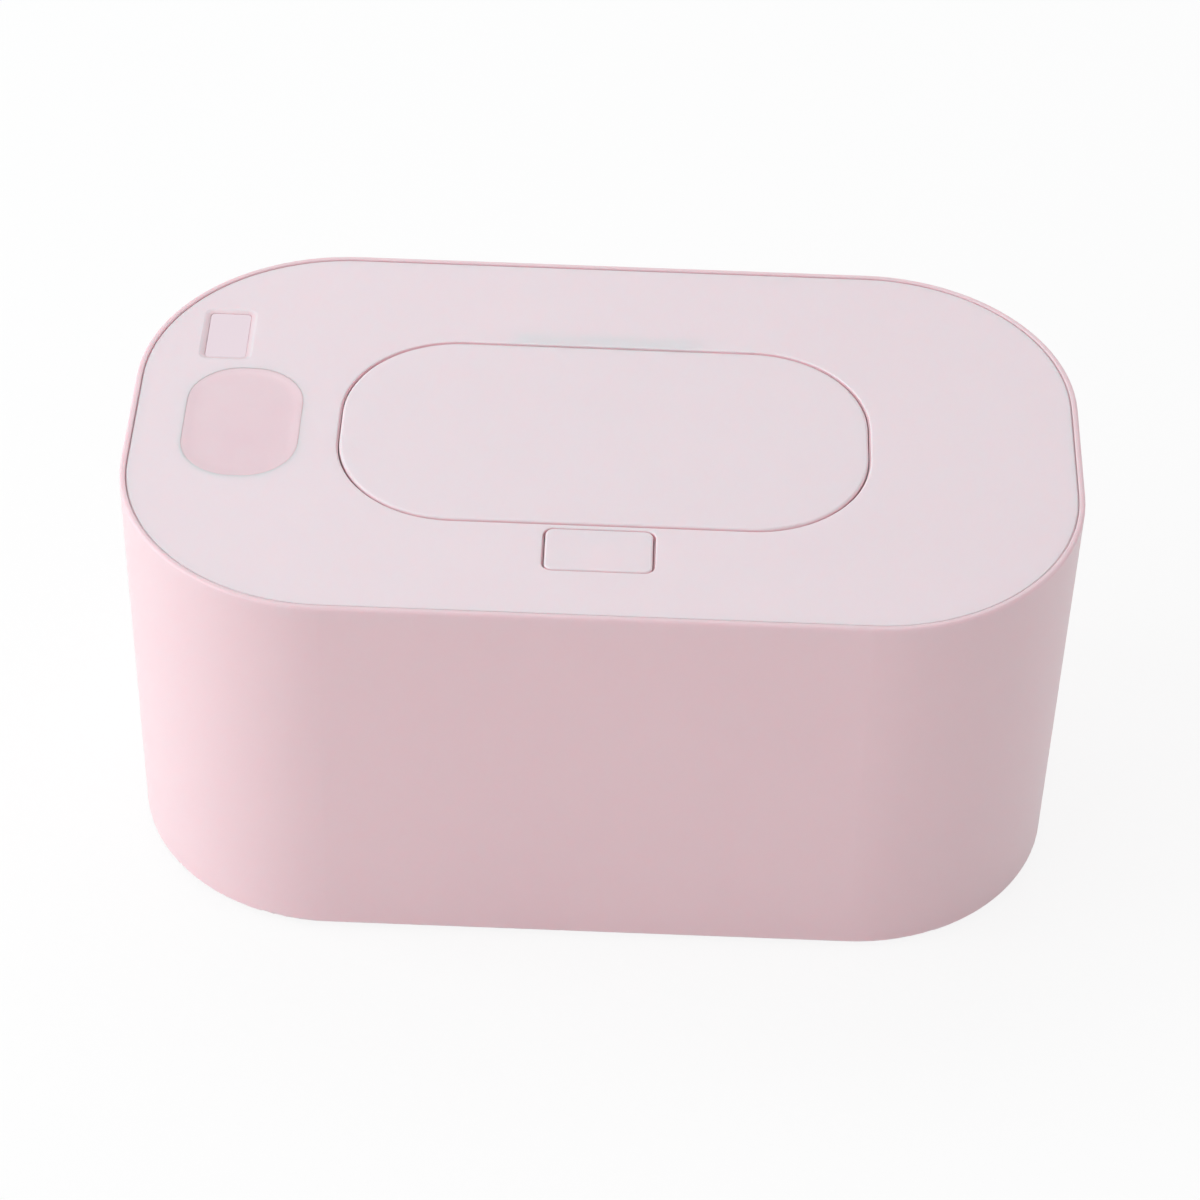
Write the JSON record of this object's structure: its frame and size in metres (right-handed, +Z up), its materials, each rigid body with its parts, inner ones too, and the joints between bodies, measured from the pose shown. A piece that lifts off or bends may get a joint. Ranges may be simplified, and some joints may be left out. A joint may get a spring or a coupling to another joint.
{
  "type": "baby wipe warmer",
  "caption": "Wide, low baby wipe warmer with round corners: an insulated tub, a lift-off heated cover with touch pad and display, and a sprung flip lid let go by a push button.",
  "frame": {"origin": "centre of the footprint, on the plane that the feet rest on", "axes": "+X to the right along the width, +Y to the back where the power inlet and the lid's hinge are, +Z up"},
  "size_m": [0.205, 0.12, 0.0946],
  "materials": {
    "pink_shell": "satin",
    "pink_panel": "matte",
    "pink_button": "matte",
    "pad_pink": "satin",
    "window_pink": "gloss",
    "white_liner": "satin",
    "white_base": "satin",
    "white_guide": "matte",
    "foam": "matte",
    "silicone": "matte",
    "feet_rubber": "matte",
    "steel": "satin",
    "socket_steel": "satin",
    "plate_aluminium": "satin",
    "film_amber": "gloss",
    "board_green": "satin",
    "black_parts": "satin",
    "fuse_body": "satin",
    "lead_red": "satin"
  },
  "bodies": {
    "body": {"outer_shell": "pink_shell", "inner_liner": "white_liner", "insulation_wrap": "foam", "insulation_pad": "foam", "rubber_feet": "feet_rubber", "body_screws": "steel"},
    "cover": {"cover_panel": "pink_panel", "cover_base": "white_base", "cover_seal": "silicone", "cover_screws": "steel", "wipe_guide": "white_guide", "heating_plate": "plate_aluminium", "heater_film": "film_amber", "heater_pad": "foam", "heater_screws": "steel", "thermistor": "black_parts", "thermal_fuse": "fuse_body", "heater_leads": "lead_red", "touch_pad": "pad_pink", "touch_spring": "steel", "display_window": "window_pink", "display_module": "black_parts", "control_board": "board_green", "board_screws": "steel", "microcontroller": "black_parts", "buzzer": "black_parts", "heater_switch": "black_parts", "lead_socket": "white_base", "inlet_socket": "socket_steel", "inlet_board": "board_green", "inlet_leads": "lead_red", "hinge_pin": "steel", "lid_spring": "steel", "latch_spring": "steel"},
    "flip_lid": {"lid_outer": "pink_panel", "lid_inner": "white_base", "lid_seal": "silicone"},
    "button": {"release_button": "pink_button"},
    "latch": {"latch_slider": "white_base"}
  },
  "joints": [
    {"name": "cover_lift", "type": "slide", "parent": "body", "child": "cover", "axis": [0, 0, 1], "range_m": [0, 0.05]},
    {"name": "lid_hinge", "type": "hinge", "parent": "cover", "child": "flip_lid", "pos_m": [0, 0.03235, 0.0924], "axis": [-1, 0, 0], "range_deg": [0, 105]},
    {"name": "button_press", "type": "slide", "parent": "cover", "child": "button", "axis": [0, 0, -1], "range_m": [0, 0.0015], "stiffness_N_per_m": 600, "springref_m": -0.002},
    {"name": "latch_slide", "type": "slide", "parent": "cover", "child": "latch", "axis": [0, -1, 0], "range_m": [0, 0.0015], "deforming": ["latch_spring"]}
  ],
  "couplings": [
    {"joint": "latch_slide", "follows": "button_press", "ratio": 1}
  ]
}
